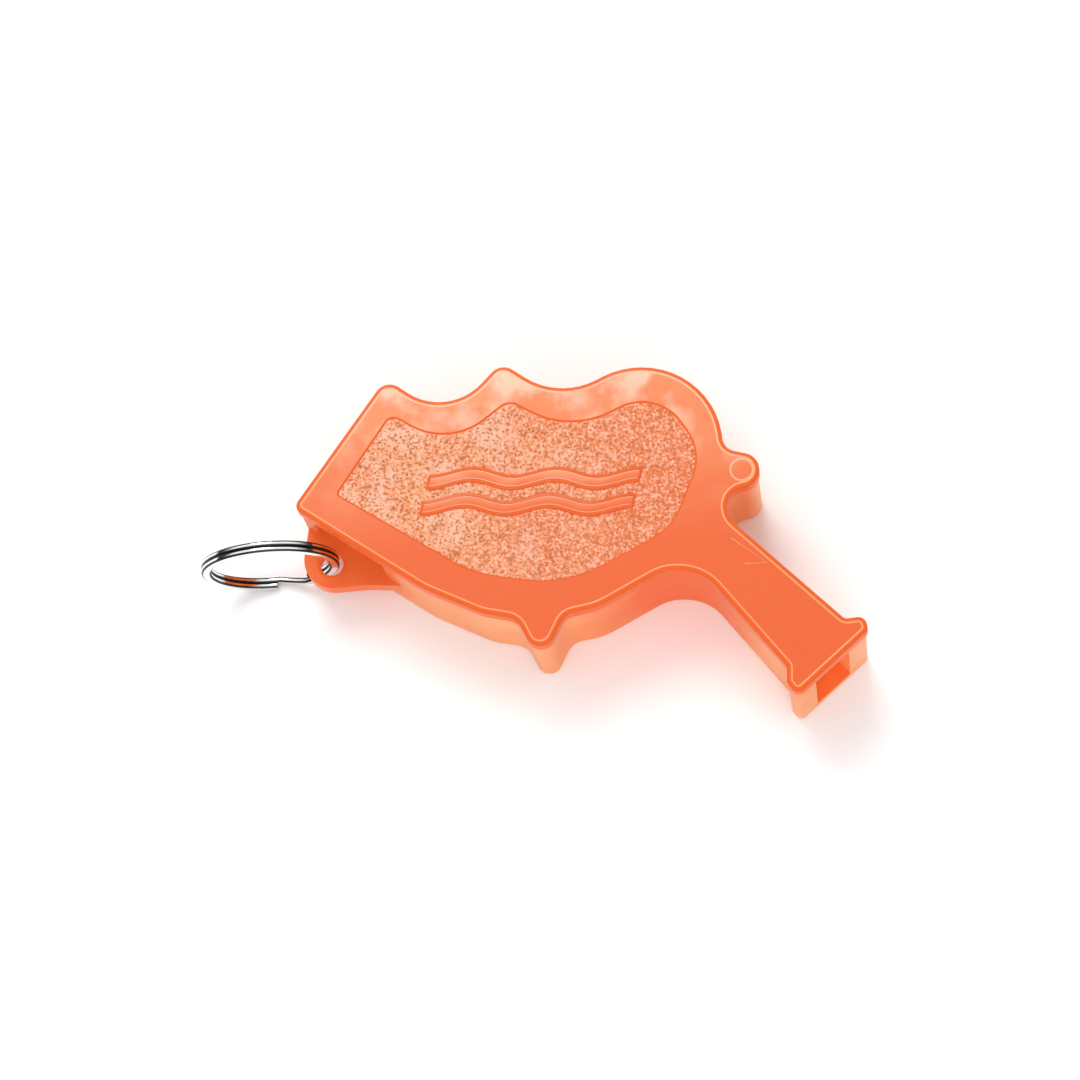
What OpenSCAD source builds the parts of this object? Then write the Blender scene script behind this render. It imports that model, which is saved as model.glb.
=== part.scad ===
// Pea whistle with a round sound chamber, a scalloped grip, a mouth tube on
// an arm, and a split ring on a flat tab. It lies on its rear face.
// Origin: the sound chamber's axis on the rear face. +Z points out of the cover.

/* [Housing] */
// Length from the sound chamber's axis to the tip of the grip
grip_l = 49.7; // [41:0.1:62]
// Length that the arm is stretched by, against its standard length
arm_stretch = 0; // [-4:0.1:8]
// Overall thickness, front to back
body_t = 17.5; // [14.5:0.1:22]
// Thickness of the front cover
cover_t = 2.5; // [2:0.1:3.5]
// Thickness of the rear floor
floor_t = 1.8; // [1.2:0.1:2.4]
// Thickness of the side walls
wall_t = 1.8; // [1.2:0.1:2.2]
// How far the cover's rim stands proud of the side walls
rim_lap = 0.25; // [0.1:0.05:0.5]

/* [Sound chamber] */
// Inner radius of the sound chamber
chamber_r = 9.5; // [7.9:0.1:11.4]
// Thickness of the chamber's own wall and of the air guides
rib_t = 1.4; // [1:0.1:1.8]
// Width of the slit that the air leaves the mouth tube through
slit_w = 1.5; // [1:0.1:2.2]
// Diameter of the pea
pea_d = 9; // [7:0.1:11]
// Free space between the pea and the chamber
pea_clear = 0.35; // [0.3:0.05:1]

/* [Mouthpiece] */
// Width of the mouth opening
mouth_w = 6.4; // [5:0.1:7.6]

/* [Cover relief] */
// Depth of the grained panel below the cover's border
panel_depth = 0.25; // [0.1:0.05:0.5]
// Height of the wave badge above the grained panel
badge_h = 0.25; // [0.15:0.05:0.5]
// Width of each raised wave band of the badge
badge_band = 2.3; // [1.5:0.1:3]

/* [Tab and split ring] */
// Height of the tab's underside above the rear face
tab_z = 5.4; // [3:0.1:7]
// Thickness of the tab
tab_t = 2.6; // [2:0.1:3.2]
// Outer radius of the split ring
ring_r = 10; // [8:0.1:12.5]
// Radial width of the ring's flat wire
wire_w = 1.4; // [1:0.05:1.8]
// Thickness of the ring's flat wire, one turn
wire_t = 0.8; // [0.5:0.05:1]
// Free space round the ring in the tab's hole
ring_clear = 0.2; // [0.15:0.05:0.6]
// Angle that the ring is swung to, from the grip's length
ring_yaw = 6; // [-30:1:90]

/* [Cover fixing] */
// Radius of the cover's locating pins
pin_r = 0.9; // [0.6:0.05:1.1]
// Length of the cover's locating pins
pin_l = 4; // [3:0.1:6]
// Free space round each pin in its socket
pin_clear = 0.05; // [0.03:0.01:0.12]
// Height of the locating lip under the cover
lip_h = 1; // [0.6:0.1:1.5]
// Free space between the lip and the side wall
lip_clear = 0.1; // [0.05:0.01:0.2]

/* [Hidden] */

$fn = 96;
arc_step = 7.5;      // largest angle between two points on a rounded corner
cut = 1;             // how far a cutting shape runs past the face it opens
small_r = 0.3;       // rounding left where an inset takes up a corner's radius
least_straight = 0.02;  // straight left between two rounded corners
tub_h = body_t - cover_t;

// ---- Outline helpers. An outline is a list of [x, y, corner radius], clockwise.

function unit(v) = v / norm(v);
function xy(p) = [p[0], p[1]];
function polar(r, a) = [r * cos(a), r * sin(a)];
function turn(a) = a > 180 ? a - 360 : a < -180 ? a + 360 : a;
function is_convex(p0, p, p1) = cross(p - p0, p1 - p) < 0;

// Points along the rounded corner at p, between the corners p0 and p1
function corner_arc(p0, p, p1, r) =
    let (a = unit(p0 - p),
         b = unit(p1 - p),
         half = acos(a * b) / 2,
         run = r / tan(half),
         centre = p + unit(a + b) * r / sin(half),
         from = p + a * run - centre,
         to = p + b * run - centre,
         from_angle = atan2(from[1], from[0]),
         sweep = turn(atan2(to[1], to[0]) - from_angle),
         steps = max(2, ceil(abs(sweep) / arc_step)))
    [for (i = [0:steps]) centre + polar(r, from_angle + sweep * i / steps)];

// Length of side that the rounding at corner i takes up
function reach(outline, i) =
    let (n = len(outline),
         p = xy(outline[i]),
         a = unit(xy(outline[(i + n - 1) % n]) - p),
         b = unit(xy(outline[(i + 1) % n]) - p))
    outline[i][2] / tan(acos(a * b) / 2);

// Share of their radii that the corners at both ends of side i have room for
function room(outline, i) =
    let (j = (i + 1) % len(outline),
         side = norm(xy(outline[j]) - xy(outline[i])))
    min(1, (side - least_straight) / (reach(outline, i) + reach(outline, j)));

function rounded(outline) =
    let (n = len(outline))
    [for (i = [0:n - 1])
        let (before = (i + n - 1) % n,
             share = min(room(outline, before), room(outline, i)))
        each corner_arc(xy(outline[before]), xy(outline[i]),
                        xy(outline[(i + 1) % n]), outline[i][2] * share)];

// The same outline moved inwards by d all round
function inset(outline, d) =
    let (n = len(outline))
    [for (i = [0:n - 1])
        let (p0 = xy(outline[(i + n - 1) % n]),
             p = xy(outline[i]),
             p1 = xy(outline[(i + 1) % n]),
             a = unit(p0 - p),
             b = unit(p1 - p),
             half = acos(a * b) / 2,
             convex = is_convex(p0, p, p1),
             moved = p + unit(a + b) * d / sin(half) * (convex ? 1 : -1))
        [moved[0], moved[1], convex ? max(outline[i][2] - d, small_r) : outline[i][2] + d]];

module plate(outline, z, height) {
    translate([0, 0, z])
        linear_extrude(height)
            polygon(rounded(outline));
}

// ---- Where the grip and the arm go when they are stretched

grip_std = 49.7;     // grip length that the outline points below are given for
tip_x = -36;         // left of this line the tip moves as one piece

function grip(x, y, r) =
    let (dx = grip_l - grip_std)
    [x <= tip_x ? x - dx : x * (1 - dx / tip_x), y, r];

arm_dir = polar(1, -45);
function arm(x, y, r) = [x + arm_dir[0] * arm_stretch, y + arm_dir[1] * arm_stretch, r];

// ---- The outer outline, from the grip's tip along the top to the mouth and back

hump_r = chamber_r + wall_t + 0.5;
hump_from = 118.8;   // where the hump starts, as an angle round the chamber
hump_to = 9.5;
hump_half = (hump_from - hump_to) / 2;
hump_top = polar(hump_r / cos(hump_half), (hump_from + hump_to) / 2);
scallop_low = polar(hump_r, hump_from) + polar(6.9, hump_from + 90);
neck = polar(hump_r, hump_to) + polar(2.5, hump_to - 90);

boss = [chamber_r + 5.1, -3.7];
boss_r = 2.5;
boss_corner = 40;    // where the boss's two corners stand, as an angle round it
boss_top = boss + polar(boss_r / cos(boss_corner), boss_corner);
boss_low = boss + polar(boss_r / cos(boss_corner), -boss_corner);

fin = [-13.2, -26.6];

grip_top = [
    grip(-49.7, -9.3, 1.2),
    grip(-37, 10.2, 2.3),
    grip(-27.7, 4.1, 8),
    grip(-20.3, 12.6, 2.3),
    [scallop_low[0], scallop_low[1], 10],
    [hump_top[0], hump_top[1], hump_r],
];
boss_side = [
    [neck[0], neck[1], 2.2],
    [boss_top[0], boss_top[1], boss_r],
    [boss_low[0], boss_low[1], boss_r],
    [chamber_r + 2.7, -6.9, 2.8],
    [chamber_r + 3.3, -10.8, 3.2],
];
mouth_rim = [
    arm(29.4, -25.6, 1),
    arm(32.2, -25.2, 1.2),
    arm(32.7, -27.3, 1),
    arm(22.8, -36.8, 1.2),
    arm(21.3, -34.9, 1),
    arm(21.3, -32.6, 0.8),
];
throat = [
    [9, -18.4, 7],
    [3.6, -18.6, 6],
];
belly = [
    grip(-22, -24.9, 8),
    grip(-30.5, -21.3, 14),
];
fin_side = [
    [-5.5, -24, 10],
    [-10.2, -25.1, 2.4],
    [fin[0] - 0.3, fin[1] - 5.8, 2.1],
    [-17, -25.7, 2.8],
];
body_outline = concat(grip_top, boss_side, mouth_rim, throat, fin_side, belly);
tub_outline = inset(body_outline, rim_lap);

// ---- The hollow inside, without the lugs and cut short in the arm

core_outline = concat(
    grip_top,
    [[neck[0], neck[1], 2.2],
     [chamber_r + 2.9, -10.4, 3.5],
     [19, -16.3, 1],
     [14.2, -24.2, 1]],
    throat,
    [[-5.5, -24, 10]],
    belly
);
hollow_outline = inset(core_outline, rim_lap + wall_t);

// ---- The mouth tube's passage, from the hollow out through the mouth

mouth_mid = [arm(27.75, -32, 0)[0], arm(27.75, -32, 0)[1]];
mouth_along = polar(1, 43.8);                  // direction across the mouth opening
mouth_out = polar(1, 43.8 - 90);               // direction out of the mouth
passage = [
    mouth_mid + mouth_along * mouth_w / 2 + mouth_out * 3,
    mouth_mid - mouth_along * mouth_w / 2 + mouth_out * 3,
    mouth_mid - mouth_along * mouth_w / 2 - mouth_out * 3,
    [12.6, -20.4],
    [16.4, -16.2],
    mouth_mid + mouth_along * mouth_w / 2 - mouth_out * 3,
];

// ---- Air guides inside the tub, as closed outlines

drum_r = chamber_r + rib_t;
slit_y = -drum_r + rib_t / 2;
// Upper guide: from the chamber's underside to the arm's right wall
upper_guide = [
    [0.4, slit_y + rib_t / 2],
    [0.4, slit_y - rib_t / 2],
    [7, slit_y - rib_t / 2 - 1],
    [16.9, -16.4],
    [17.4, -15],
    [7.6, slit_y - 0.5],
];
// Lower guide: from the wall of the throat to the slit
lower_guide = [
    [0.4, slit_y - rib_t / 2 - slit_w],
    [0.4, slit_y - rib_t / 2 - slit_w - rib_t],
    [6, -17.2],
    [9.5, -17.4],
    [6.6, slit_y - rib_t / 2 - slit_w - 1],
];
// Edge that splits the air, on the far side of the window
window_from = 228;
window_to = 268;
edge_root = polar(drum_r, window_from);
air_edge = [
    polar(chamber_r - cut, window_from - 2),
    polar(chamber_r - cut, window_from - 8),
    polar(drum_r - rib_t / 4, window_from - 12),
    [edge_root[0] + 2.2, slit_y - rib_t / 2 - slit_w / 2],
];

// ---- The tab, its hole, and the air outlet beside it

tip = xy(grip_top[0]);
belly_dir = unit(xy(belly[1]) - tip);
belly_in = [-belly_dir[1], belly_dir[0]];
wall_mid = rim_lap + wall_t / 2;               // depth that the tab is rooted at
root_near = tip + belly_dir * 2 + belly_in * wall_mid;
root_far = tip + belly_dir * 19 + belly_in * wall_mid;
tab_outline = [
    [root_near[0], root_near[1], 0.2],
    grip(-48.6, -9.4, 0.3),
    grip(-49.7, -19.2, 4.4),
    grip(-39.5, -18.2, 6),
    [root_far[0], root_far[1], 0.2],
];
tab_hole = xy(grip(-45.1, -15, 0));
tab_mid_z = tab_z + tab_t / 2;
edge_break = 0.4;                              // chamfer round the tab's hole

ring_gap = 0.1;                                // space under the ring
ring_mid_r = ring_r - wire_w / 2;
ring_z = ring_r + ring_gap;
ring_tilt = asin((ring_z - tab_mid_z) / ring_mid_r);
ring_across = wire_w / cos(ring_tilt) + tab_t * tan(ring_tilt);
hole_r = norm([ring_across, 2 * wire_t]) / 2 + ring_clear;
ring_centre = concat(tab_hole - polar(ring_mid_r * cos(ring_tilt), ring_yaw), [ring_z]);

// Slot through the wall, from the tab's front face up to the cover
outlet_from = xy(grip(-47.1, -10.9, 0));
outlet_to = xy(grip(-37.1, -17.3, 0));
outlet_dir = unit(outlet_to - outlet_from);
outlet_normal = [outlet_dir[1], -outlet_dir[0]];
outlet = [
    outlet_from + outlet_normal * 2,
    outlet_from - outlet_normal * (wall_t + 1),
    outlet_to - outlet_normal * (wall_t + 1),
    outlet_to + outlet_normal * 2,
];

// ---- Panel and badge on the cover

panel_outline = [
    grip(-43.7, -7.4, 0.8),
    grip(-36.1, 4.9, 1.6),
    grip(-27.4, 0, 9),
    grip(-19, 7, 2.4),
    [-10, 2, 12],
    [2.3, 8.8, 7],
    [9.1, -1, 7.5],
    [5, -12.4, 9],
    [-10, -21, 18],
    grip(-23.5, -19.2, 18),
];
badge_mid = [-15.5, -6.9];
badge_l = 30;
badge_lean = 0.22;                             // sideways slope of the badge's ends
band_pitch = 3.9;                              // from one wave band to the next
wave_h = 0.6;                                  // height of one wave, up and down
wave_count = 2.5;                              // waves along the badge
wave_steps = 48;

function lean(p) = [badge_mid[0] + p[0] + badge_lean * p[1], badge_mid[1] + p[1]];
function wave_y(x) = wave_h * sin(360 * wave_count * x / badge_l);

// ---- Pieces

// The chamber's wall, still solid, and the two guides
module air_guides() {
    translate([0, 0, cut]) {
        cylinder(r = drum_r, h = tub_h - cut);
        linear_extrude(tub_h - cut)
            polygon(upper_guide);
        linear_extrude(tub_h - cut)
            polygon(lower_guide);
    }
}

module chamber_window() {
    span = drum_r * 2;
    translate([0, 0, floor_t])
        linear_extrude(tub_h)
            polygon([[0, 0], polar(span, window_from), polar(span, window_to)]);
}

module tab_bore() {
    translate([tab_hole[0], tab_hole[1], tab_z - cut])
        cylinder(r = hole_r, h = tab_t + 2 * cut);
    translate([tab_hole[0], tab_hole[1], tab_z - edge_break])
        cylinder(r1 = hole_r + 2 * edge_break, r2 = hole_r, h = 2 * edge_break);
    translate([tab_hole[0], tab_hole[1], tab_z + tab_t - edge_break])
        cylinder(r1 = hole_r, r2 = hole_r + 2 * edge_break, h = 2 * edge_break);
}

module pin_places() {
    translate(boss)
        children();
    translate(fin)
        children();
}

module rear_shell() {
    color("coral")
        difference() {
            union() {
                difference() {
                    plate(tub_outline, 0, tub_h);
                    plate(hollow_outline, floor_t, tub_h);
                    translate([0, 0, floor_t])
                        linear_extrude(tub_h)
                            polygon(passage);
                }
                difference() {
                    air_guides();
                    chamber_window();
                }
                translate([0, 0, cut])
                    linear_extrude(tub_h - cut)
                        polygon(air_edge);
                plate(tab_outline, tab_z, tab_t);
            }
            translate([0, 0, floor_t])
                cylinder(r = chamber_r, h = tub_h);
            translate([0, 0, tab_z + tab_t])
                linear_extrude(tub_h)
                    polygon(outlet);
            tab_bore();
            pin_places()
                translate([0, 0, tub_h - pin_l - pin_clear])
                    cylinder(r = pin_r + pin_clear, h = pin_l + cut);
        }
}

// Two raised wave bands, one above the other, that sink a little into the panel
module badge() {
    sunk = badge_h / 2;
    xs = [for (k = [0:wave_steps]) badge_l * (k / wave_steps - 0.5)];
    translate([0, 0, body_t - panel_depth - sunk])
        linear_extrude(badge_h + sunk)
            for (y = [-band_pitch / 2, band_pitch / 2])
                polygon(concat(
                    [for (x = xs) lean([x, y + wave_y(x) + badge_band / 2])],
                    [for (k = [wave_steps:-1:0]) lean([xs[k], y + wave_y(xs[k]) - badge_band / 2])]));
}

// A lip that drops inside the grip's wall and stops short of the chamber
module locating_lip() {
    lip_t = 1;
    stop_x = -drum_r - 2;
    far = 2 * grip_l;
    intersection() {
        difference() {
            plate(inset(core_outline, rim_lap + wall_t + lip_clear), tub_h - lip_h, lip_h + cut);
            plate(inset(core_outline, rim_lap + wall_t + lip_clear + lip_t), 0, body_t);
            translate([0, 0, -cut])
                linear_extrude(body_t)
                    polygon([outlet[0], outlet[1] - outlet_normal * 3 * lip_t,
                             outlet[2] - outlet_normal * 3 * lip_t, outlet[3]]);
        }
        translate([stop_x - far, -far, 0])
            cube([far, 2 * far, body_t - panel_depth - 1]);
    }
}

module front_cover() {
    mark_r = 1.75;                             // ring mark over the boss
    mark_line = 0.3;
    color("coral")
        union() {
            difference() {
                plate(body_outline, tub_h, cover_t);
                plate(panel_outline, body_t - panel_depth, panel_depth + cut);
                translate([boss[0], boss[1], body_t - mark_line / 2])
                    difference() {
                        cylinder(r = mark_r, h = cut);
                        translate([0, 0, -cut])
                            cylinder(r = mark_r - mark_line, h = 3 * cut);
                    }
            }
            badge();
            locating_lip();
            pin_places()
                translate([0, 0, tub_h - pin_l])
                    cylinder(r = pin_r, h = pin_l + cut);
        }
}

module pea() {
    orbit_r = chamber_r - pea_d / 2 - pea_clear;
    color("burlywood")
        translate([orbit_r, 0, floor_t + pea_clear + pea_d / 2])
            sphere(d = pea_d);
}

// Two turns of flat wire pressed together, each cut where its end is
module split_ring() {
    soft = 0.15;                               // rounding of the wire's edges
    end_cut = 4;                               // angle of the gap at each wire end
    inner = ring_r - wire_w;
    module turn_of_wire(cut_at) {
        difference() {
            rotate_extrude()
                polygon([
                    [inner, soft], [inner + soft, 0], [ring_r - soft, 0], [ring_r, soft],
                    [ring_r, wire_t - soft], [ring_r - soft, wire_t],
                    [inner + soft, wire_t], [inner, wire_t - soft]]);
            translate([0, 0, wire_t / 2])
                linear_extrude(wire_t)
                    polygon([[0, 0], polar(2 * ring_r, cut_at), polar(2 * ring_r, cut_at + end_cut)]);
        }
    }
    color("silver")
        translate(ring_centre)
            rotate([90, 0, ring_yaw]) {
                turn_of_wire(268);
                mirror([0, 0, 1])
                    turn_of_wire(296);
            }
}

rear_shell();
front_cover();
pea();
split_ring();
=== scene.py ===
# %% [markdown]
# # A pea whistle on a split ring
#
# The real thing is four pieces: a moulded tub, a moulded front cover welded on top of it, a cork
# pea inside the round sound chamber, and a split ring of flat wire through the tab. The
# engineering model gives each piece its place and size, so every step here starts from it and
# adds what a mould and a factory leave behind: rounded edges, a leather grain, a wire that steps
# from one turn to the next. First the model is loaded, and its box is kept.

import math

import bmesh
import bpy
from mathutils import Matrix, Vector, noise
from mathutils.bvhtree import BVHTree


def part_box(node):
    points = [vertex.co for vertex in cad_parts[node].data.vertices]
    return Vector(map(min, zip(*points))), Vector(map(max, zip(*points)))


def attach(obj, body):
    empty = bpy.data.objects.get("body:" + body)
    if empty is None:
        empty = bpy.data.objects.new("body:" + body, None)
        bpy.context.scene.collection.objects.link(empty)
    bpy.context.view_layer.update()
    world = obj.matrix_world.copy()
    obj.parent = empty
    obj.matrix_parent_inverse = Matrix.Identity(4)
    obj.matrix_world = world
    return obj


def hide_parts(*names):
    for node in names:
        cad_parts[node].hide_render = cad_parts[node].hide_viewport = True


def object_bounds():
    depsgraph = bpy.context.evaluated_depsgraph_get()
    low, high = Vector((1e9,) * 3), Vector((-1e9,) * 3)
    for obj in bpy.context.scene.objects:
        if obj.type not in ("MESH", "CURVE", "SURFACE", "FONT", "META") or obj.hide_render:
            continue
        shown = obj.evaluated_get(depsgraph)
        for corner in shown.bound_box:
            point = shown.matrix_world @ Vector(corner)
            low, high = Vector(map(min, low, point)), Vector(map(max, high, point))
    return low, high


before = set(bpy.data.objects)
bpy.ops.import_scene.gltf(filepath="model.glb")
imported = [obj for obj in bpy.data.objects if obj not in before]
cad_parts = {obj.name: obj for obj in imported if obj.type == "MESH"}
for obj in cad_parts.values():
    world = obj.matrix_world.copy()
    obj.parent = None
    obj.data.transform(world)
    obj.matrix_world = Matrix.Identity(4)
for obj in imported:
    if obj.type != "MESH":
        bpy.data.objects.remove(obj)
cad_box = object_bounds()
MM = 0.001
print("pieces in the frame:", sorted(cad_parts))

# %% [markdown]
# ## Camera
#
# A camera can be aimed with a constraint, but a fixed turn about X, Y and Z is
# easier to read back and never changes by itself. A long lens, far away, keeps
# the whistle's parallel walls nearly parallel, as a product picture does.

# %% Camera
CAMERA_PLACE = Vector((41.3, -184.8, 602.2)) * MM
CAMERA_TURN = (16.33, 4.975, 1.455)  # degrees about X, Y and Z
LENS_MM = 143.3
SENSOR_MM = 36

camera_data = bpy.data.cameras.new("camera")
camera_data.lens = LENS_MM
camera_data.sensor_width = SENSOR_MM
camera = bpy.data.objects.new("camera", camera_data)
camera.location = CAMERA_PLACE
camera.rotation_euler = [math.radians(angle) for angle in CAMERA_TURN]
bpy.context.scene.collection.objects.link(camera)
bpy.context.scene.camera = camera
bpy.context.scene.view_settings.view_transform = "Standard"
print("camera", round(CAMERA_PLACE.length, 3), "m from the origin")

# %% [markdown]
# ## Soft studio light
#
# Plastic shows its shape by what it mirrors. A world that is white overhead
# and dark near the horizon acts as one big light tent: level faces stay
# bright and rounded edges pick up a darker line. Chrome needs that dark band
# even more, because in an all-white room it looks like paper. A large soft
# lamp behind the object then puts a sheen on the cover, and a larger one in
# front lights the walls that face the viewer.

# %% World
def make_world(top, low, from_height, to_height):
    """A sky of strength low up to from_height, which grows to top at to_height."""
    world = bpy.data.worlds.new("light_tent")
    world.use_nodes = True
    nodes, links = world.node_tree.nodes, world.node_tree.links
    nodes.clear()
    place = nodes.new("ShaderNodeTexCoord")
    split = nodes.new("ShaderNodeSeparateXYZ")
    ramp = nodes.new("ShaderNodeMapRange")
    ramp.interpolation_type = "SMOOTHSTEP"
    ramp.inputs["From Min"].default_value = from_height
    ramp.inputs["From Max"].default_value = to_height
    ramp.inputs["To Min"].default_value = low
    ramp.inputs["To Max"].default_value = top
    background = nodes.new("ShaderNodeBackground")
    output = nodes.new("ShaderNodeOutputWorld")
    links.new(place.outputs["Generated"], split.inputs["Vector"])
    links.new(split.outputs["Z"], ramp.inputs["Value"])
    links.new(ramp.outputs["Result"], background.inputs["Strength"])
    links.new(background.outputs["Background"], output.inputs["Surface"])
    bpy.context.scene.world = world


make_world(top=1.15, low=0.05, from_height=0.20, to_height=0.70)
print("world:", bpy.context.scene.world.name)


# %% Lamps
def soft_lamp(name, place, aim, size, watts):
    """A square area lamp at place that points at aim. All in metres and watts."""
    data = bpy.data.lights.new(name, "AREA")
    data.size = size
    data.energy = watts
    lamp = bpy.data.objects.new(name, data)
    lamp.location = place
    lamp.rotation_euler = (Vector(aim) - Vector(place)).to_track_quat("-Z", "Y").to_euler()
    bpy.context.scene.collection.objects.link(lamp)


middle = (cad_box[0] + cad_box[1]) / 2
soft_lamp("back_lamp", place=(-0.22, 0.52, 0.78), aim=middle, size=0.50, watts=4.4)
soft_lamp("front_lamp", place=(0.10, -0.85, 0.50), aim=middle, size=0.90, watts=4.6)
print("lamps aim at", [round(v, 4) for v in middle])

# %% [markdown]
# ## Floor
#
# The floor only has to be a plain pale sheet that fills the view. One face is
# enough.

# %% Floor
FLOOR_HALF = 2.0
PAPER_WHITE = (0.97, 0.97, 0.97, 1)

floor_mesh = bpy.data.meshes.new("floor")
bm = bmesh.new()
bmesh.ops.create_grid(bm, x_segments=1, y_segments=1, size=FLOOR_HALF)
bm.to_mesh(floor_mesh)
bm.free()
floor = bpy.data.objects.new("floor", floor_mesh)
bpy.context.scene.collection.objects.link(floor)
paper = bpy.data.materials.new("white_paper")
paper.use_nodes = True
paper_shader = paper.node_tree.nodes["Principled BSDF"]
paper_shader.inputs["Base Color"].default_value = PAPER_WHITE
paper_shader.inputs["Roughness"].default_value = 0.9
paper_shader.inputs["Specular IOR Level"].default_value = 0.1
floor_mesh.materials.append(paper)
print("floor", 2 * FLOOR_HALF, "m across")


# %% [markdown]
# ## Moulded orange plastic
#
# The plastic is a fluorescent orange with some light coming through it. Three things make it
# look moulded and not painted. Light spreads under the surface, which the Subsurface sockets do.
# The colour drifts slowly over the piece, because the walls behind it are thin in some places
# and thick in others: a large soft noise does that, and it is scaled by the painted sheen and
# shade below. The gloss is never quite even: another noise drives the roughness, and the border
# and the grain have a fine bump as well.
# All of them read Object coordinates, which stay with the piece when it moves
# and need no UV map. Fluorescent plastic sends back a little more light than
# it gets, so it also has a trace of emission.

# %% Node helpers
def new_material(name):
    """An empty material. Returns it with its nodes and its links."""
    material = bpy.data.materials.new(name)
    material.use_nodes = True
    return material, material.node_tree.nodes, material.node_tree.links


def noise_node(nodes, links, vector, per_metre, detail=2.0):
    """Noise with per_metre blotches to the metre. Returns its value socket."""
    node = nodes.new("ShaderNodeTexNoise")
    node.inputs["Scale"].default_value = per_metre
    node.inputs["Detail"].default_value = detail
    links.new(vector, node.inputs["Vector"])
    return node.outputs["Fac"]


def remap(nodes, links, value, low, high, to_low, to_high):
    """Stretches low to high over to_low to to_high, and goes no further."""
    node = nodes.new("ShaderNodeMapRange")
    node.inputs["From Min"].default_value = low
    node.inputs["From Max"].default_value = high
    node.inputs["To Min"].default_value = to_low
    node.inputs["To Max"].default_value = to_high
    links.new(value, node.inputs["Value"])
    return node.outputs["Result"]


def mix_colour(nodes, links, share, first, second):
    """Blend of two colours. Each may be a colour or another node's socket."""
    node = nodes.new("ShaderNodeMix")
    node.data_type = "RGBA"
    links.new(share, node.inputs["Factor"])
    for socket, colour in ((node.inputs["A"], first), (node.inputs["B"], second)):
        if isinstance(colour, tuple):
            socket.default_value = (*colour, 1)
        else:
            links.new(colour, socket)
    return node.outputs["Result"]


def product(nodes, links, first, second):
    """Two sockets multiplied."""
    node = nodes.new("ShaderNodeMath")
    node.operation = "MULTIPLY"
    links.new(first, node.inputs[0])
    links.new(second, node.inputs[1])
    return node.outputs["Value"]


print("node helpers:", [f.__name__ for f in (noise_node, remap, mix_colour, product)])


# %% [markdown]
# ### Where sheen and shade are painted
#
# The cover is palest along its upper side, a painted sheen from the lamp behind it, and deepest
# on the arm, where the air guides also stand right under it. Towards the panel's far corner the
# grain pales the same way. The tub's walls are pale, apart from the throat and the tab, which
# are painted deeper, as shade in the throat's hollow and at the tab's root. One node each
# measures that: the dot product says how far a point lies in a direction, and the distance says
# how far it is from a middle.

# %% Painted sheen and shade
# Painted sheen: the cover pales towards its upper side, as if lit by the lamp behind.
SHEEN_SIDE = (-0.05, 1.0, 0)
SHEEN_REACH = (-14 * MM, 12 * MM)  # where paling starts and where it is full
# Painted sheen on the grain: it pales towards the panel's far corner.
TIP_SIDE = (-0.90, 0.40, 0)
TIP_REACH = (-12 * MM, 22 * MM)
TIP_LEAST = 0.1
# Painted shade: the throat and the tab's root are made deeper, as shade in these hollows.
THROAT = (0.006, -0.018, 0.008)
THROAT_REACH = (7 * MM, 17 * MM)
TAB_ROOT = (-0.044, -0.014, 0.008)
TAB_REACH = (8 * MM, 13 * MM)
TAB_LEAST = 0.15


def vector_node(nodes, links, operation, place, other):
    """One number from two vectors: a dot product or a distance."""
    node = nodes.new("ShaderNodeVectorMath")
    node.operation = operation
    links.new(place, node.inputs[0])
    node.inputs[1].default_value = other
    return node.outputs["Value"]


def towards_sheen_side(nodes, links, place):
    """0 on the arm and the belly, and 1 along the cover's upper side, where the sheen is
    painted.
    """
    along = vector_node(nodes, links, "DOT_PRODUCT", place, SHEEN_SIDE)
    return remap(nodes, links, along, *SHEEN_REACH, 0, 1)


def towards_sheen_tip(nodes, links, place):
    """TIP_LEAST by the chamber, and 1 at the panel's far corner, where the sheen is painted."""
    along = vector_node(nodes, links, "DOT_PRODUCT", place, TIP_SIDE)
    return remap(nodes, links, along, *TIP_REACH, TIP_LEAST, 1)


def away_from_painted_shade(nodes, links, place):
    """0 at the throat, TAB_LEAST at the tab, and 1 away from both: 0 is full painted shade."""
    throat = vector_node(nodes, links, "DISTANCE", place, THROAT)
    tab = vector_node(nodes, links, "DISTANCE", place, TAB_ROOT)
    return product(nodes, links,
                   remap(nodes, links, throat, *THROAT_REACH, 0, 1),
                   remap(nodes, links, tab, *TAB_REACH, TAB_LEAST, 1))


print("pale from", SHEEN_REACH[0] / MM, "to", SHEEN_REACH[1] / MM, "mm along", SHEEN_SIDE)


# %% [markdown]
# ### One recipe for every plastic
#
# Whatever part of the whistle it is on, the plastic is the same stuff. So one function builds
# it, and only what differs is handed in. The drift blends a deep colour into a pale one. Patches
# of painted highlight can lie over that on the sheened side, and the panel's grain gets painted
# shade in its pits and painted highlights on its peaks.

# %% Plastic
DEEP = (0.60, 0.088, 0.014)
FULL = (0.62, 0.130, 0.034)
PALE = (0.68, 0.285, 0.125)
# The pale colour of painted highlights.
HIGHLIGHT_PALE = (0.76, 0.570, 0.440)
WALL = (0.68, 0.330, 0.140)
GLOW_COLOUR = (1.0, 0.16, 0.03, 1)
PLASTIC_IOR = 1.45
SPREAD_WEIGHT = 0.1
SPREAD = (1.0, 0.30, 0.10)  # how far red, green and blue light spread
SPREAD_DEPTH = 1.2 * MM
DRIFT_SCALE = 75  # blotches to the metre, here and below
SHEEN_PATCH_SCALE = 170
GLOSS_SCALE = 260
MIDDLE_VALUES = (0.35, 0.65)  # a noise seldom leaves this band
DRIFT_LEAST = 0.6
SHEEN_PATCH_BAND = (0.47, 0.62)
PIT_BAND = (0.46, 0.36)
PEAK_BAND = (0.50, 0.62)
PIT_MOST = 0.9
PEAK_MOST = 0.7


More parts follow.
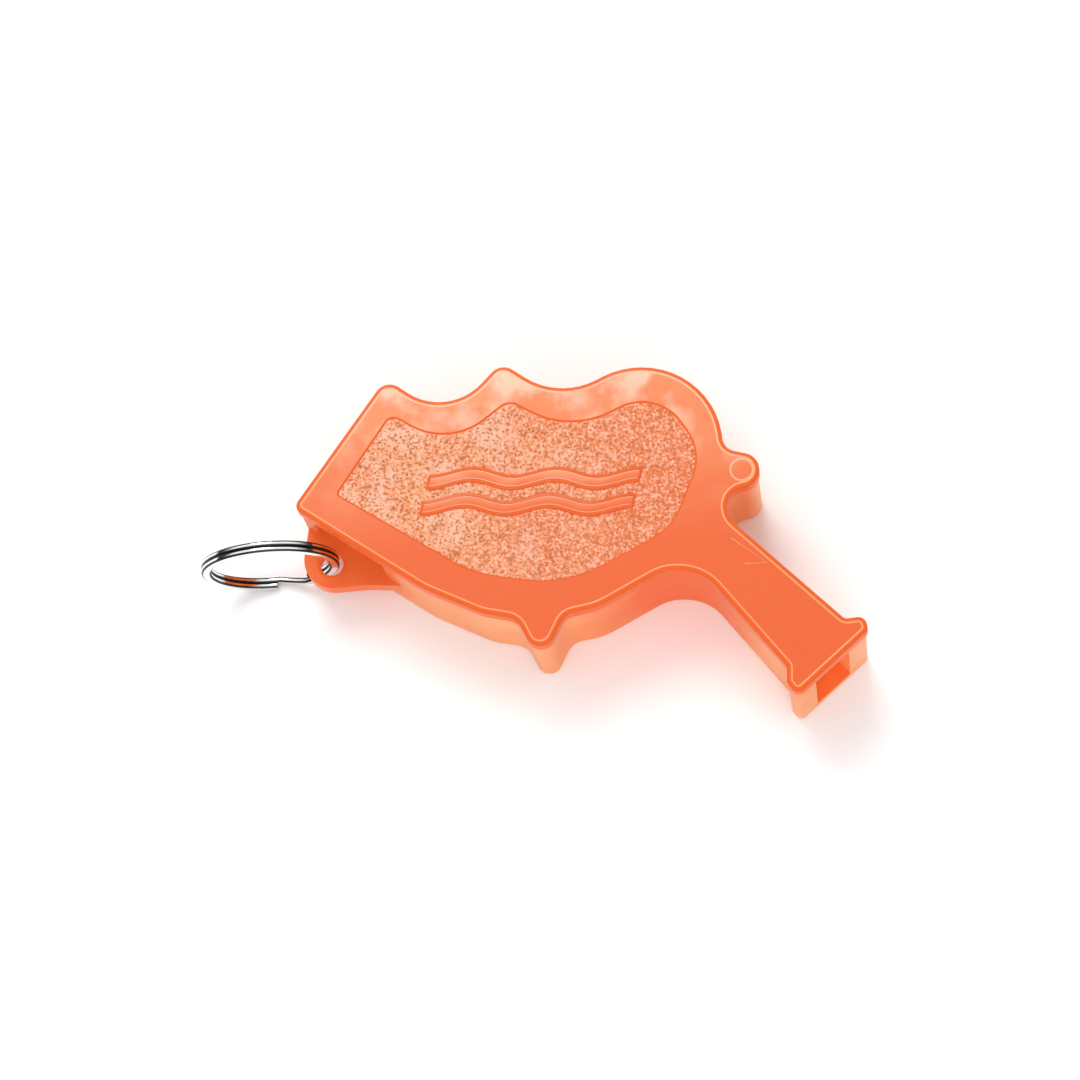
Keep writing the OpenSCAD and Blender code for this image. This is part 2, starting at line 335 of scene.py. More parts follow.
def plastic(name, deep_end, pale_end, bumps, where, roughness=(0.30, 0.38), pore_shading=None,
            sheen_patches=0, glow=0.14, shine=0.36):
    """Moulded plastic whose colour drifts from deep_end to pale_end.

    bumps is a list of (blotches per metre, height in metres) for the skin.
    where builds the socket that says how pale each place is, from 0 to 1: a painted sheen on the
    cover and a painted shade on the tub.
    pore_shading is (blotches per metre, pit colour, peak colour) for the etched grain: painted
    shade in its pits and painted highlights on its peaks.
    sheen_patches is how pale the patches of painted highlight are on the sheened side.
    glow is the fluorescent part, and shine is how much the skin mirrors."""
    material, nodes, links = new_material(name)
    shader = nodes["Principled BSDF"]
    place = nodes.new("ShaderNodeTexCoord").outputs["Object"]
    share = where(nodes, links, place)
    drift = noise_node(nodes, links, place, DRIFT_SCALE, detail=3)
    drift = remap(nodes, links, drift, *MIDDLE_VALUES, DRIFT_LEAST, 1)
    colour = mix_colour(nodes, links, product(nodes, links, share, drift), deep_end, pale_end)
    # Patches of painted highlight, on the sheened side only.
    if sheen_patches:
        sheen_patch_share = noise_node(nodes, links, place, SHEEN_PATCH_SCALE, detail=6)
        sheen_patch_share = remap(nodes, links, sheen_patch_share, *SHEEN_PATCH_BAND, 0, sheen_patches)
        sheen_patch_share = product(nodes, links, sheen_patch_share, product(nodes, links, share, share))
        colour = mix_colour(nodes, links, sheen_patch_share, colour, HIGHLIGHT_PALE)
    # Painted shade in the grain's pits and painted highlights on its peaks.
    if pore_shading:
        per_metre, pit_shade_colour, peak_highlight_colour = pore_shading
        fine = noise_node(nodes, links, place, per_metre, detail=2)
        pit_shade_share = remap(nodes, links, fine, *PIT_BAND, 0, PIT_MOST)
        peak_highlight_share = remap(nodes, links, fine, *PEAK_BAND, 0, PEAK_MOST)
        pit_shade_share = product(nodes, links, pit_shade_share, remap(nodes, links, share, 0, 1, 0.5, 1))
        colour = mix_colour(nodes, links, pit_shade_share, colour, pit_shade_colour)
        colour = mix_colour(nodes, links, peak_highlight_share, colour, peak_highlight_colour)
    links.new(colour, shader.inputs["Base Color"])
    gloss = noise_node(nodes, links, place, GLOSS_SCALE, detail=3)
    gloss = remap(nodes, links, gloss, *MIDDLE_VALUES, *roughness)
    links.new(gloss, shader.inputs["Roughness"])
    normal = None
    for per_metre, height in bumps:
        bump = nodes.new("ShaderNodeBump")
        bump.inputs["Distance"].default_value = height
        links.new(noise_node(nodes, links, place, per_metre), bump.inputs["Height"])
        if normal:
            links.new(normal, bump.inputs["Normal"])
        normal = bump.outputs["Normal"]
    if normal:
        links.new(normal, shader.inputs["Normal"])
    shader.inputs["IOR"].default_value = PLASTIC_IOR
    shader.inputs["Specular IOR Level"].default_value = shine
    shader.inputs["Subsurface Weight"].default_value = SPREAD_WEIGHT
    shader.inputs["Subsurface Radius"].default_value = SPREAD
    shader.inputs["Subsurface Scale"].default_value = SPREAD_DEPTH
    shader.inputs["Emission Color"].default_value = GLOW_COLOUR
    shader.inputs["Emission Strength"].default_value = glow
    return material


# %% [markdown]
# ### The six plastics
#
# The cover has four: a smooth border, a deeper edge on every rounding and side wall, which is
# painted shade, a pale glint for the fine lines that catch the light, which is a painted
# highlight, and the panel's grain. The tub has two. Its outside is pale, and its inside is
# deeper and glows more: painted bounce light, for light that bounces from one orange wall to the
# next. The tub and the edge also glow more than the border, a painted fill light. The skin and
# the grain get bumps. The rest is polished, so it has none.

# %% The six plastics
SKIN = [(420, 0.03 * MM)]
SMOOTH = []
PORE_SCALE = 2700
GRAIN = [(420, 0.04 * MM), (PORE_SCALE, 0.26 * MM), (4600, 0.10 * MM)]
# Painted shade for the grain's pits, and painted highlight for its peaks.
PIT_SHADE = (0.32, 0.090, 0.028)
PEAK_HIGHLIGHT = (0.74, 0.50, 0.38)
PORE_SHADING = (PORE_SCALE, PIT_SHADE, PEAK_HIGHLIGHT)
GRAIN_GLOSS = (0.22, 0.34)
EDGE_SHINE = 0.15

side = towards_sheen_side
walls = away_from_painted_shade
# The border pales by a painted sheen towards its upper side, and patches of painted highlight
# lie there.
border_plastic = plastic("orange_border", DEEP, PALE, SKIN, side, sheen_patches=0.8)
# Painted shade: a deeper copy of the border for roundings, side walls and fine dark lines, with
# a stronger glow as painted fill light.
edge_shade_plastic = plastic("orange_edge_shade", DEEP, FULL, SMOOTH, side, glow=0.2, shine=EDGE_SHINE)
# Painted highlight: a pale plastic for the fine lines that catch the lamp, palest on the sheened
# side.
glint_plastic = plastic("orange_glint", PALE, HIGHLIGHT_PALE, SMOOTH, side)
# The grain pales by a painted sheen towards the panel's far corner, with painted shade in its
# pits and painted highlights on its peaks.
grain_plastic = plastic("orange_grain", FULL, PALE, GRAIN, towards_sheen_tip, GRAIN_GLOSS, PORE_SHADING,
                        sheen_patches=0.45)
# Painted shade deepens the tub's walls at the throat and the tab, and its stronger glow is a
# painted fill light.
tub_plastic = plastic("orange_wall", DEEP, WALL, SMOOTH, walls, glow=0.22, shine=EDGE_SHINE)
# Painted bounce light: the inside is deeper and glows more, for light that bounces between the
# orange walls.
inside_bounce_plastic = plastic("orange_inside_bounce", DEEP, FULL, SMOOTH, walls, glow=0.34, shine=EDGE_SHINE)
print("plastics:", [m.name for m in bpy.data.materials if m.name.startswith("orange")])


# %% [markdown]
# ## Working on a copy
#
# The frame's own meshes are never changed. They are also loose triangles, so
# no edge has two neighbours and no bevel could work on them. A copy has its
# doubled corners merged and the needless edges on flat faces dissolved. What
# is left is a clean solid with real edges to round.

# %% Copies and finished pieces
SAME_PLACE = 0.0008 * MM
FLAT_ANGLE = math.radians(0.4)


def solid_copy(node):
    """A bmesh of a frame node, welded, with the edges on flat faces gone."""
    bm = bmesh.new()
    bm.from_mesh(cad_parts[node].data)
    bmesh.ops.remove_doubles(bm, verts=bm.verts, dist=SAME_PLACE)
    bmesh.ops.dissolve_limit(bm, angle_limit=FLAT_ANGLE, verts=bm.verts, edges=bm.edges)
    return bm


def open_edges(bm):
    """Edges that don't join exactly two faces. A closed solid has none."""
    return [e for e in bm.edges if len(e.link_faces) != 2]


def finished(bm, name, body, materials, node, sharp=32):
    """Turns a bmesh into a piece that rides on body, and hides node, whose place it takes.

    sharp is the angle in degrees from which an edge stays crisp."""
    print(name, len(bm.faces), "faces,", len(open_edges(bm)), "open edges")
    mesh = bpy.data.meshes.new(name)
    for face in bm.faces:
        face.smooth = True
    for edge in bm.edges:
        if edge.is_manifold and edge.calc_face_angle() > math.radians(sharp):
            edge.smooth = False
    bm.to_mesh(mesh)
    bm.free()
    for material in materials:
        mesh.materials.append(material)
    piece = bpy.data.objects.new(name, mesh)
    bpy.context.scene.collection.objects.link(piece)
    normals = piece.modifiers.new("even_shading", "WEIGHTED_NORMAL")
    normals.keep_sharp = True
    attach(piece, body)
    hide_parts(node)


print("corners within", SAME_PLACE / MM, "mm of each other are merged")


# %% [markdown]
# ## Front cover
#
# The moulded face has a proud rounded bead round its rim, a smooth border just
# below it, and a grained panel sunk into the border. Modelling all that from
# nothing would risk leaving the size the engineering model gives. So the copy
# keeps its walls, its locating lip and its two pins, and only its plain top is
# taken off. Two loops of the old top stay behind as wires: the outer one and
# the panel's. A finer top is then grown between them.

# %% Loops of edges
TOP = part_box("front_cover")[1].z
NEAR = 0.02 * MM
TURN = 0.5  # how much the z of the two normals has to differ


def at_height(geometry, z):
    """Edges or faces that lie level at height z."""
    return [g for g in geometry if all(abs(v.co.z - z) < NEAR for v in g.verts)]


def loops_of(edges):
    """Groups edges that touch each other into loops, the longest first.

    The edges that are left are the keys of a dictionary. It keeps their order,
    which a set doesn't, so every run makes the same mesh."""
    left = dict.fromkeys(edges)
    loops = []
    while left:
        loop = [left.popitem()[0]]
        for edge in loop:
            for vert in edge.verts:
                touching = [e for e in vert.link_edges if e in left]
                for touched in touching:
                    del left[touched]
                loop.extend(touching)
        loops.append(loop)
    return sorted(loops, key=lambda loop: -sum(e.calc_length() for e in loop))


def turning_edges(bm, z):
    """Edges at height z where a level face meets a wall."""
    return [e for e in at_height(bm.edges, z)
            if len(e.link_faces) == 2
            and abs(e.link_faces[0].normal.z - e.link_faces[1].normal.z) > TURN]


cover = solid_copy("front_cover")
rim, panel_rim = loops_of(turning_edges(cover, TOP))[:2]
print("rim", len(rim), "edges, panel", len(panel_rim), "edges")

# %% Take the plain top off
RELIEF_LOW = TOP - 1 * MM

relief = [f for f in cover.faces if all(v.co.z > RELIEF_LOW for v in f.verts)]
bmesh.ops.delete(cover, geom=relief, context="FACES_ONLY")
kept_wires = set(panel_rim)
wires = [e for e in cover.edges if not e.link_faces and e not in kept_wires]
bmesh.ops.delete(cover, geom=wires, context="EDGES")
print("left open:", len(open_edges(cover)), "edges")

# %% [markdown]
# ### The bead and the border
#
# One face is stretched over the outer loop and inset twice. The first inset
# marks off the bead. The second goes down as it goes in, which is the bead's
# inner slope. The face that is left over is the border. It has a hole for the
# panel, so it is taken out and filled again between its own edges and the
# panel's loop, which is first let down to the border's level.

# %% Bead and border
BORDER, EDGE_SHADE, GRAIN_FACE, GLINT = range(4)
BEAD_WIDTH = 0.61 * MM
BEAD_SLOPE = 0.25 * MM
BEAD_HEIGHT = 0.10 * MM


def cap(bm, edges):
    """One upward face over a level loop of edges."""
    face = bmesh.ops.edgeloop_fill(bm, edges=edges)["faces"][0]
    face.normal_update()
    if face.normal.z < 0:
        face.normal_flip()
    return face


def step_in(bm, face, width, depth=0.0):
    """Insets a face and lets it down by depth. Returns the band round it."""
    return bmesh.ops.inset_region(
        bm, faces=[face], thickness=width, depth=-depth,
        use_boundary=True, use_even_offset=True)["faces"]


# The cover's walls, lip and pins take the edge plastic, a painted shade.
for face in cover.faces:
    face.material_index = EDGE_SHADE
top = cap(cover, rim)
step_in(cover, top, BEAD_WIDTH)
# The bead's inner slope takes the glint plastic, a painted highlight.
for face in step_in(cover, top, BEAD_SLOPE, BEAD_HEIGHT):
    face.material_index = GLINT
border_edges = list(top.edges)
for edge in border_edges + panel_rim:
    edge.smooth = False
bmesh.ops.delete(cover, geom=[top], context="FACES_ONLY")
panel_verts = list(dict.fromkeys(v for e in panel_rim for v in e.verts))
bmesh.ops.translate(cover, verts=panel_verts, vec=(0, 0, -BEAD_HEIGHT))
filled = bmesh.ops.triangle_fill(
    cover, edges=border_edges + panel_rim, use_beauty=True, use_dissolve=False, normal=(0, 0, 1))
for face in filled["geom"]:
    if isinstance(face, bmesh.types.BMFace):
        face.material_index = BORDER
print("border faces", len([f for f in cover.faces if f.material_index == BORDER]))

# %% [markdown]
# ### The sunk panel
#
# The panel's step is not square: a cutter leaves a small round at its top and
# its foot. Three insets that go down by different amounts give that section.

# %% Panel step
PANEL_DEPTH = 0.20 * MM
STEP_SECTION = [(0.10, 0.15), (0.06, 0.60), (0.12, 0.25)]  # width in mm, share of the depth

panel = cap(cover, panel_rim)
# The step's faces take the edge plastic, a painted shade that draws a dark line round the panel.
for width, share in STEP_SECTION:
    for face in step_in(cover, panel, width * MM, share * PANEL_DEPTH):
        face.material_index = EDGE_SHADE
panel.material_index = GRAIN_FACE
PANEL_Z = panel.verts[0].co.z
print("panel floor at", round(PANEL_Z / MM, 3), "mm")

# %% [markdown]
# ### Leather grain
#
# A mould maker etches the grain into the steel, so it is real relief and it
# should be in the mesh. A bump map alone would vanish from the silhouette and
# from a printed copy. The floor is sliced by planes into small squares, which
# keeps its outline exactly, and each inner corner is then lifted or lowered by
# noise. The finest pores are left to the material's bump.

# %% Slice the panel
GRAIN_PITCH = 0.26 * MM
CUT_SHIFT = 0.4  # share of a pitch by which every cut is moved back
CUT_NEAR = 0.002 * MM


def slice_faces(bm, index, axis, pitch):
    """Cuts all faces of one material into strips, square to an axis."""
    faces = [f for f in bm.faces if f.material_index == index]
    values = [v.co[axis] for f in faces for v in f.verts]
    normal = Vector((0, 0, 0))
    normal[axis] = 1
    place = Vector((0, 0, 0))
    low, high = min(values), max(values)
    cuts = int((high - low) / pitch)
    for k in range(1, cuts + 1):
        place[axis] = low + (k - CUT_SHIFT) * pitch
        geom = dict.fromkeys(g for f in faces for g in (f, *f.edges, *f.verts))
        cut = bmesh.ops.bisect_plane(bm, geom=list(geom), plane_co=place, plane_no=normal,
                                     dist=CUT_NEAR)
        faces = [g for g in cut["geom"] if isinstance(g, bmesh.types.BMFace)
                 and max(v.co[axis] for v in g.verts) > place[axis] + CUT_NEAR]
    return cuts


across = slice_faces(cover, GRAIN_FACE, 0, GRAIN_PITCH)
along = slice_faces(cover, GRAIN_FACE, 1, GRAIN_PITCH)
print("panel sliced", across, "by", along)

# %% Grain relief
GRAIN_HEIGHT = 0.055 * MM
PEBBLE = 0.62 * MM
CREASE = 1.5 * MM
CREASE_SQUEEZE = 1.4  # creases are this much longer along X than along Y
CREASE_LAYER = 7 * CREASE  # far from the pebbles in the noise's third direction
PEBBLE_SHARE = 1.2
CREASE_SHARE = 0.5


def grain_height(point):
    """Pebbles and creases together, as a share of the grain's height."""
    pebbles = noise.noise(Vector((point.x, point.y, 0)) / PEBBLE)
    crease_place = Vector((point.x, point.y * CREASE_SQUEEZE, CREASE_LAYER))
    creases = noise.noise(crease_place / CREASE)
    return PEBBLE_SHARE * pebbles + CREASE_SHARE * creases


grain_faces = [f for f in cover.faces if f.material_index == GRAIN_FACE]
grain_verts = dict.fromkeys(v for f in grain_faces for v in f.verts)
inner = [v for v in grain_verts if all(f.material_index == GRAIN_FACE for f in v.link_faces)]
for vert in inner:
    vert.co.z += GRAIN_HEIGHT * grain_height(vert.co)
print("grained corners", len(inner))

# %% [markdown]
# ### Rounding the rim
#
# Only now is the rim bevelled, because a bevel needs its edge to have a face
# on both sides. A profile of 0.5 is a quarter circle, and a material of -1
# lets the new faces take their neighbours' finish. The lower rim, where the
# cover laps over the tub, gets a much smaller rounding.

# %% Bevel the cover
RIM_ROUND = 0.5 * MM
LAP_ROUND = 0.12 * MM


def round_edges(bm, edges, radius, segments):
    """Rounds edges to a quarter circle. Returns the faces of the rounding."""
    return bmesh.ops.bevel(
        bm, geom=edges, offset=radius, offset_type="OFFSET", segments=segments, profile=0.5,
        affect="EDGES", material=-1, clamp_overlap=False, loop_slide=True)["faces"]


cover.normal_update()
LAP = min(v.co.z for face in rim[0].link_faces for v in face.verts)
lap_edges = loops_of(turning_edges(cover, LAP))[0]
round_edges(cover, lap_edges, LAP_ROUND, 2)
rim = loops_of(turning_edges(cover, TOP))[0]
# The rounding takes the edge plastic, a painted shade.
for face in round_edges(cover, rim, RIM_ROUND, 4):
    face.material_index = EDGE_SHADE
print("cover seam at", round(LAP / MM, 2), "mm; rim rounded to", RIM_ROUND / MM, "mm")

# %% [markdown]
# ### Raised lines
#
# The badge is two leaning wave bands. Each is a low ribbon with a raised outline in the edge
# plastic, a painted shade line, and just inside the outline runs a thinner pale line in the
# glint plastic, a painted highlight where its foot catches the light. A raised line is easiest
# as a curve with a round section: the curve follows the wave's formula, and its bevel depth
# gives the width. It is pressed to its own height, made a mesh, and set half into the panel's
# floor.

# %% Line maker
def raised_line(bm, points, z, width, height, closed=False, material=EDGE_SHADE):
    """Adds a rounded line through flat points, standing height above z."""
    curve = bpy.data.curves.new("line", "CURVE")
    curve.dimensions = "3D"
    curve.bevel_depth = width / 2
    curve.bevel_resolution = 3
    curve.use_fill_caps = not closed
    spline = curve.splines.new("POLY")
    spline.points.add(len(points) - 1)
    for knot, point in zip(spline.points, points):
        knot.co = (point.x, point.y, 0, 1)
    spline.use_cyclic_u = closed
    holder = bpy.data.objects.new("line", curve)
    mesh = bpy.data.meshes.new_from_object(holder)
    press = Matrix.Diagonal((1, 1, 2 * height / width, 1))
    mesh.transform(Matrix.Translation((0, 0, z)) @ press)
    old_faces, old_verts = len(bm.faces), len(bm.verts)
    bm.from_mesh(mesh)
    bm.faces.ensure_lookup_table()
    bm.verts.ensure_lookup_table()
    for face in bm.faces[old_faces:]:
        face.material_index = material
    bmesh.ops.remove_doubles(bm, verts=bm.verts[old_verts:], dist=SAME_PLACE)
    bpy.data.objects.remove(holder)
    bpy.data.curves.remove(curve)
    bpy.data.meshes.remove(mesh)


# %% Badge
BADGE_MIDDLE = Vector((-15.5, -6.9)) * MM
BADGE_LENGTH = 30 * MM
BADGE_LEAN = 0.22
BAND_WIDTH = 2.3 * MM
BAND_PITCH = 3.9 * MM
OUTLINE = 0.5 * MM
GLINT_LINE = 0.26 * MM
RIBBON_HEIGHT = 0.17 * MM
GLINT_HEIGHT = 0.22 * MM
WAVES = 2.5
WAVE_HEIGHT = 0.6 * MM
KNOTS = 60


def band_side(level, offset):
    """Points along one side of a wave band, offset from its own middle line."""
    points = []
    for k in range(KNOTS + 1):
        along = BADGE_LENGTH * (k / KNOTS - 0.5)
        wave = WAVE_HEIGHT * math.sin(2 * math.pi * WAVES * along / BADGE_LENGTH)
        across = level + offset + wave
        points.append(BADGE_MIDDLE + Vector((along + BADGE_LEAN * across, across)))
    return points


half = (BAND_WIDTH - OUTLINE) / 2
inside = half - OUTLINE / 2 - GLINT_LINE / 3
for level in (-BAND_PITCH / 2, BAND_PITCH / 2):
    outline = band_side(level, half) + band_side(level, -half)[::-1]
    raised_line(cover, outline, PANEL_Z, OUTLINE, TOP - PANEL_Z, closed=True)
    raised_line(cover, band_side(level, 0), PANEL_Z, 2 * half, RIBBON_HEIGHT, material=BORDER)
    # The pale line inside the outline is a painted highlight.
    pale_line = band_side(level, inside) + band_side(level, -inside)[::-1]
    raised_line(cover, pale_line, PANEL_Z, GLINT_LINE, GLINT_HEIGHT, closed=True, material=GLINT)
print("badge outlines stand", round((TOP - PANEL_Z) / MM, 2), "mm above the panel")

# %% [markdown]
# ### Marks on the smooth border
#
# A round mark sits over the boss that takes the cover's pin, and a faint wedge shows on the arm
# over the air guide below it. Both are raised lines again, but much lower and in the pale glint
# plastic, a painted highlight, so that they stay faint.

# %% Marks
BORDER_Z = TOP - BEAD_HEIGHT
BOSS = Vector((14.6, -3.7)) * MM
MARK_RADIUS = 1.6 * MM
MARK_LINE = 0.34 * MM
MARK_HEIGHT = 0.11 * MM
WEDGE_CORNERS = ((13.3, -13.9), (18.4, -17.5), (15.2, -17.6))
WEDGE_LINE = 0.15 * MM
WEDGE_HEIGHT = 0.03 * MM

mark = [BOSS + MARK_RADIUS * Vector((math.cos(a), math.sin(a)))
        for a in [2 * math.pi * k / KNOTS for k in range(KNOTS)]]
raised_line(cover, mark, BORDER_Z, MARK_LINE, MARK_HEIGHT, closed=True, material=GLINT)
wedge = [Vector(corner) * MM for corner in WEDGE_CORNERS]
raised_line(cover, wedge, BORDER_Z, WEDGE_LINE, WEDGE_HEIGHT, material=GLINT)
finished(cover, "cover_shell", "housing",
         [border_plastic, edge_shade_plastic, grain_plastic, glint_plastic], "front_cover")

# %% [markdown]
# ## Tub
#
# The tub needs little. A mould leaves no knife edges, so its outer lower edge
# is rounded. That edge is found by its height and its neighbours, because
# picking it by number would break as soon as the engineering model changed.

# %% Round the tub's foot
FOOT_ROUND = 0.6 * MM

tub = solid_copy("rear_shell")
foot = loops_of(turning_edges(tub, 0))[0]
round_edges(tub, foot, FOOT_ROUND, 4)
tub.normal_update()
print("foot", len(foot), "edges, rounded to", FOOT_ROUND / MM, "mm")

# %% [markdown]
# ### The tub's inside
#
# The inside of the tub gets its own plastic, with painted shade and painted bounce light, so its
# faces have to be told from the outer ones. A face looks round itself on one level, in a circle
# of rays: inside the hollow nearly every ray meets plastic, and outside most of them run free. A
# tree of the faces makes that quick.

# %% The tub's inside
INSIDE = 1
LOOKS = 16
LOOKS_FREE = 2  # rays that may run free and the face still count as inside
FIRST_LOOK = 0.3  # share of a step, so that no ray runs square to the axes


def walled_in(tree, face):
    """True when a look around from the face meets plastic on nearly every side."""
    eye = face.calc_center_median() + face.normal * NEAR
    turns = [2 * math.pi * (k + FIRST_LOOK) / LOOKS for k in range(LOOKS)]
    met = [tree.ray_cast(eye, Vector((math.cos(a), math.sin(a), 0)))[0] for a in turns]
    return sum(place is not None for place in met) >= LOOKS - LOOKS_FREE


tree = BVHTree.FromBMesh(tub)
off_foot = [f for f in tub.faces if all(v.co.z > FOOT_ROUND + NEAR for v in f.verts)]
indoors = [face for face in off_foot if walled_in(tree, face)]
# These faces take the inside plastic, with its painted bounce light.
for face in indoors:
    face.material_index = INSIDE
print("faces inside the tub:", len(indoors), "of", len(tub.faces))
finished(tub, "tub_shell", "housing", [tub_plastic, inside_bounce_plastic],
         "rear_shell")

# %% [markdown]
# ## Nickel and cork
#
# The ring is nickel plated steel. Its flats are a mirror with slight stains, so one noise both
# tints the metal and drives its roughness, and a very low bump stands for the drag marks of the
# winding. On the wire's rounded corners the mirror looks down at the dark horizon, and a second,
# nearly black metal paints that dark reflection on, which keeps those lines crisp. The pea is
# pressed cork: a Voronoi pattern gives the grains, and a noise puts dark pores among them.

# %% Nickel
NICKEL = (0.90, 0.91, 0.90)
NICKEL_LIGHT = (0.98, 0.98, 0.96)
# A painted reflection of the dark horizon, for the wire's corners.
NICKEL_REFLECTION_DARK = (0.035, 0.045, 0.040, 1)
STAIN_SCALE = 350
STAIN_BAND = (0.3, 0.7)
NICKEL_GLOSS = (0.06, 0.2)
DRAG_SCALE = 900
DRAG_HEIGHT = 0.02 * MM


def bright_metal(name):
    """The wire's flats: bright plate with faint stains and drag marks."""
    material, nodes, links = new_material(name)
    shader = nodes["Principled BSDF"]
    shader.inputs["Metallic"].default_value = 1.0
    place = nodes.new("ShaderNodeTexCoord").outputs["Object"]
    stain = noise_node(nodes, links, place, STAIN_SCALE, detail=3)
    tint = mix_colour(nodes, links, stain, NICKEL, NICKEL_LIGHT)
    links.new(tint, shader.inputs["Base Color"])
    gloss = remap(nodes, links, stain, *STAIN_BAND, *NICKEL_GLOSS)
    links.new(gloss, shader.inputs["Roughness"])
    bump = nodes.new("ShaderNodeBump")
    bump.inputs["Distance"].default_value = DRAG_HEIGHT
    links.new(noise_node(nodes, links, place, DRAG_SCALE), bump.inputs["Height"])
    links.new(bump.outputs["Normal"], shader.inputs["Normal"])
    return material


def dark_reflection_metal(name):
    """The wire's rounded corners, with the dark horizon's reflection painted on in a nearly
    black colour.
    """
    material, nodes, links = new_material(name)
    shader = nodes["Principled BSDF"]
    shader.inputs["Metallic"].default_value = 1.0
    shader.inputs["Base Color"].default_value = NICKEL_REFLECTION_DARK
    shader.inputs["Roughness"].default_value = 0.3
    return material


ring_metal = bright_metal("bright_nickel")
ring_dark_reflection = dark_reflection_metal("nickel_dark_reflection")
print("metals:", ring_metal.name, ring_dark_reflection.name)

# %% Cork
CORK_PALE = (0.55, 0.34, 0.17)
CORK_DEEP = (0.33, 0.18, 0.08)
CORK_PORE = (0.10, 0.05, 0.02)
CORK_SCALE = 1100
CORK_HEIGHT = 0.2 * MM
CORK_PORE_SCALE = 700
CORK_GRAIN_BAND = (0.1, 0.7)
CORK_PORE_BAND = (0.62, 0.70)


def cork(name):
    """Pressed cork: warm grains with dark pores between them."""
    material, nodes, links = new_material(name)
    shader = nodes["Principled BSDF"]
    shader.inputs["Roughness"].default_value = 0.85
    place = nodes.new("ShaderNodeTexCoord").outputs["Object"]
    cells = nodes.new("ShaderNodeTexVoronoi")
    cells.inputs["Scale"].default_value = CORK_SCALE
    links.new(place, cells.inputs["Vector"])
    grains = remap(nodes, links, cells.outputs["Distance"], *CORK_GRAIN_BAND, 0, 1)
    warm = mix_colour(nodes, links, grains, CORK_PALE, CORK_DEEP)
    pore_shading = noise_node(nodes, links, place, CORK_PORE_SCALE, detail=4)
    dark = remap(nodes, links, pore_shading, *CORK_PORE_BAND, 0, 1)
    colour = mix_colour(nodes, links, dark, warm, CORK_PORE)
    links.new(colour, shader.inputs["Base Color"])
    bump = nodes.new("ShaderNodeBump")
    bump.inputs["Distance"].default_value = CORK_HEIGHT
    bump.inputs["Strength"].default_value = 0.6
    links.new(cells.outputs["Distance"], bump.inputs["Height"])
    links.new(bump.outputs["Normal"], shader.inputs["Normal"])
    return material


pea_cork = cork("cork")
print("pea finish:", pea_cork.name)

# %% [markdown]
# ## Split ring
#
# A split ring is one flat wire wound twice. It lies in the back plane for most
# of a turn, is cranked over to the front plane, and lies there for the rest.
# Both cut ends sit beside the crank. Spin is the natural tool: the wire's
# section is turned about the ring's axis three times in a row, each time from
# where the last one stopped, and only the crank's spin also moves sideways.
# No spin comes back to its start, so none merges its ends. The two cut ends are filled, and the
# narrow faces of the rounded corners get the dark metal, a painted reflection of the dark
# horizon.

# %% Wire section
WIRE_WIDTH = 1.4 * MM
WIRE_THICK = 0.8 * MM
WIRE_ROUND = 0.26 * MM
RING_YAW = math.radians(6)

ring_low, ring_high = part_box("split_ring")
ring_middle = (ring_low + ring_high) / 2
ring_radius = (ring_high.z - ring_low.z) / 2
wire_line = ring_radius - WIRE_WIDTH / 2

ring = bmesh.new()
bmesh.ops.create_grid(ring, x_segments=1, y_segments=1, size=0.5)  # one metre square
bmesh.ops.scale(ring, vec=(WIRE_WIDTH, WIRE_THICK, 1), verts=ring.verts)
bmesh.ops.bevel(ring, geom=ring.verts[:], offset=WIRE_ROUND, segments=4, profile=0.5,
                affect="VERTICES", material=-1)
bmesh.ops.delete(ring, geom=ring.faces[:], context="FACES_ONLY")
print("wire section", len(ring.verts), "corners; ring radius", round(ring_radius / MM, 2), "mm")

# %% Wind the ring
BACK_FROM = math.radians(300)
CRANK_FROM = math.radians(272)
CRANK_SWEEP = math.radians(25)
FRONT_TO = math.radians(268)
STEP = math.radians(3)
LEAST_STEPS = 4
ROLLED = 1


def turn_section(angle, axis):
    """Turns the wire's section about an axis through the ring's middle."""
    matrix = Matrix.Rotation(angle, 3, axis)
    bmesh.ops.rotate(ring, verts=ring.verts, cent=(0, 0, 0), matrix=matrix)


def wind(bm, section, sweep, sideways=0.0):
    """Spins the section on by sweep, and returns the section at the far end."""
    steps = max(LEAST_STEPS, round(sweep / STEP))
    spun = bmesh.ops.spin(bm, geom=section, cent=(0, 0, 0), axis=(0, 0, 1), angle=sweep,
                          steps=steps, dvec=(0, 0, sideways / steps), use_merge=False,
                          use_duplicate=False)
    return spun["geom_last"]


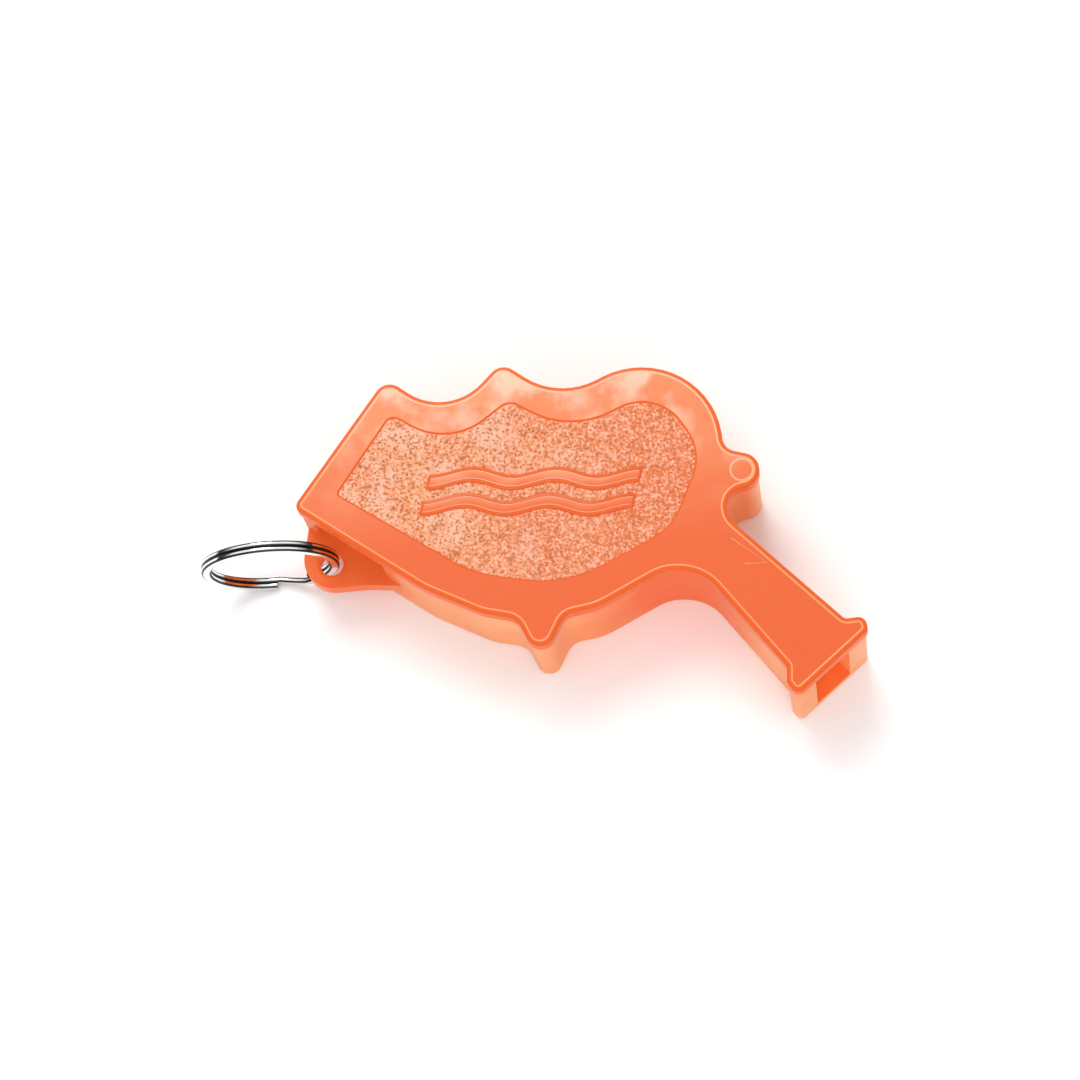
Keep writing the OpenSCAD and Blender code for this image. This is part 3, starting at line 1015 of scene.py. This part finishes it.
# The section starts in the ring's own radial plane, on the back turn
turn_section(math.pi / 2, "X")
bmesh.ops.translate(ring, verts=ring.verts, vec=(wire_line, 0, -WIRE_THICK / 2))
turn_section(BACK_FROM, "Z")
section = ring.verts[:] + ring.edges[:]
turn = 2 * math.pi
section = wind(ring, section, CRANK_FROM + turn - BACK_FROM)
section = wind(ring, section, CRANK_SWEEP, WIRE_THICK)
wind(ring, section, FRONT_TO + turn - CRANK_FROM - CRANK_SWEEP)
bmesh.ops.remove_doubles(ring, verts=ring.verts, dist=SAME_PLACE)
bmesh.ops.holes_fill(ring, edges=[e for e in ring.edges if e.is_boundary], sides=0)
# The corner faces get the dark metal, a painted reflection of the dark horizon.
for face in ring.faces:
    if min(e.calc_length() for e in face.edges) < WIRE_ROUND / 2:
        face.material_index = ROLLED
print("wire wound, open edges:", len(open_edges(ring)))

# %% Stand the ring in the tab
stand = Matrix.Rotation(RING_YAW, 4, "Z") @ Matrix.Rotation(math.pi / 2, 4, "X")
bmesh.ops.transform(ring, verts=ring.verts, matrix=Matrix.Translation(ring_middle) @ stand)
bmesh.ops.recalc_face_normals(ring, faces=ring.faces)
finished(ring, "wound_ring", "ring", [ring_metal, ring_dark_reflection], "split_ring",
         sharp=50)

# %% [markdown]
# ## Cork pea
#
# The pea rattles in the air stream. It is cut from cork, so it is a ball with
# chips out of it. Noise only ever takes material away, so it stays inside the
# engineering model's ball and keeps its clearance in the chamber.

# %% Pea
PEA_CHIP = 0.22 * MM
CHIP_SIZE = 1.1 * MM
CHIP_FROM = 0.1  # noise below this takes nothing away
CRUMB_SIZE = 0.35 * MM
CRUMB_SHARE = 0.3

pea_low, pea_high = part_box("pea")
pea_middle = (pea_low + pea_high) / 2
pea_radius = (pea_high.z - pea_low.z) / 2
pea = bmesh.new()
bmesh.ops.create_icosphere(pea, subdivisions=6, radius=pea_radius)
for vert in pea.verts:
    out = vert.co.normalized()
    chip = max(0, noise.noise(vert.co / CHIP_SIZE) - CHIP_FROM)
    crumb = CRUMB_SHARE * abs(noise.noise(vert.co / CRUMB_SIZE))
    vert.co -= out * PEA_CHIP * (chip + crumb)
bmesh.ops.translate(pea, verts=pea.verts, vec=pea_middle)
finished(pea, "cork_ball", "pea_ball", [pea_cork], "pea", sharp=60)
